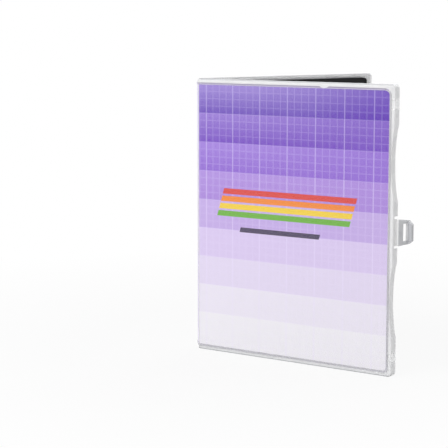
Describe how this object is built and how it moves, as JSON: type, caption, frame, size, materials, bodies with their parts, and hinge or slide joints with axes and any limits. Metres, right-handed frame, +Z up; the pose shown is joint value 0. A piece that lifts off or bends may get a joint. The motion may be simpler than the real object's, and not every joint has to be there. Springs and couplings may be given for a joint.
{
  "type": "game cartridge binder case",
  "caption": "Clear moulded binder case with a hinged spine, a side latch, a printed wrap under film, and pocket pages on strap rings for game cartridges.",
  "frame": {"origin": "middle of the strip that the back cover stands on", "axes": "+Z up along the spine, +X from the spine to the back cover's fore edge, +Y out of the back cover's outer face"},
  "size_m": [0.1939, 0.1918, 0.2286],
  "materials": {
    "clear_plastic": "clear moulded polypropylene, slightly hazy, satin",
    "cover_film": "thin clear film, glossy",
    "printed_paper": "coated paper printed in stepped bands from purple to white",
    "spine_paper": "coated paper, plain lilac",
    "black_sheet": "black plastic sheet, fine grain",
    "pocket_film": "clear film, glossy",
    "ring_plastic": "moulded polypropylene, satin"
  },
  "bodies": {
    "back_cover": {"back_cover": "clear_plastic", "back_insert": "printed_paper", "back_overlay": "cover_film", "ring_lower": "ring_plastic", "ring_middle": "ring_plastic", "ring_upper": "ring_plastic", "page_1_sheet": "black_sheet", "page_1_pockets": "pocket_film", "page_2_sheet": "black_sheet", "page_2_pockets": "pocket_film", "page_3_sheet": "black_sheet", "page_3_pockets": "pocket_film"},
    "spine": {"spine_panel": "clear_plastic", "spine_insert": "spine_paper", "spine_overlay": "cover_film"},
    "front_cover": {"front_cover": "clear_plastic", "front_insert": "printed_paper", "front_overlay": "cover_film"},
    "latch": {"latch_tab": "clear_plastic"}
  },
  "joints": [
    {"name": "back_hinge", "type": "hinge", "parent": "back_cover", "child": "spine", "pos_m": [-0.09085, 0.00335, 0], "axis": [0, 0, -1], "range_deg": [-30.5, 59.5]},
    {"name": "front_hinge", "type": "hinge", "parent": "spine", "child": "front_cover", "pos_m": [-0.09816, -0.00906, 0], "axis": [0, 0, -1], "range_deg": [-38, 52]},
    {"name": "latch_hinge", "type": "hinge", "parent": "front_cover", "child": "latch", "pos_m": [-0.02917, -0.179, 0], "axis": [0, 0, -1], "range_deg": [-26, 64]}
  ]
}
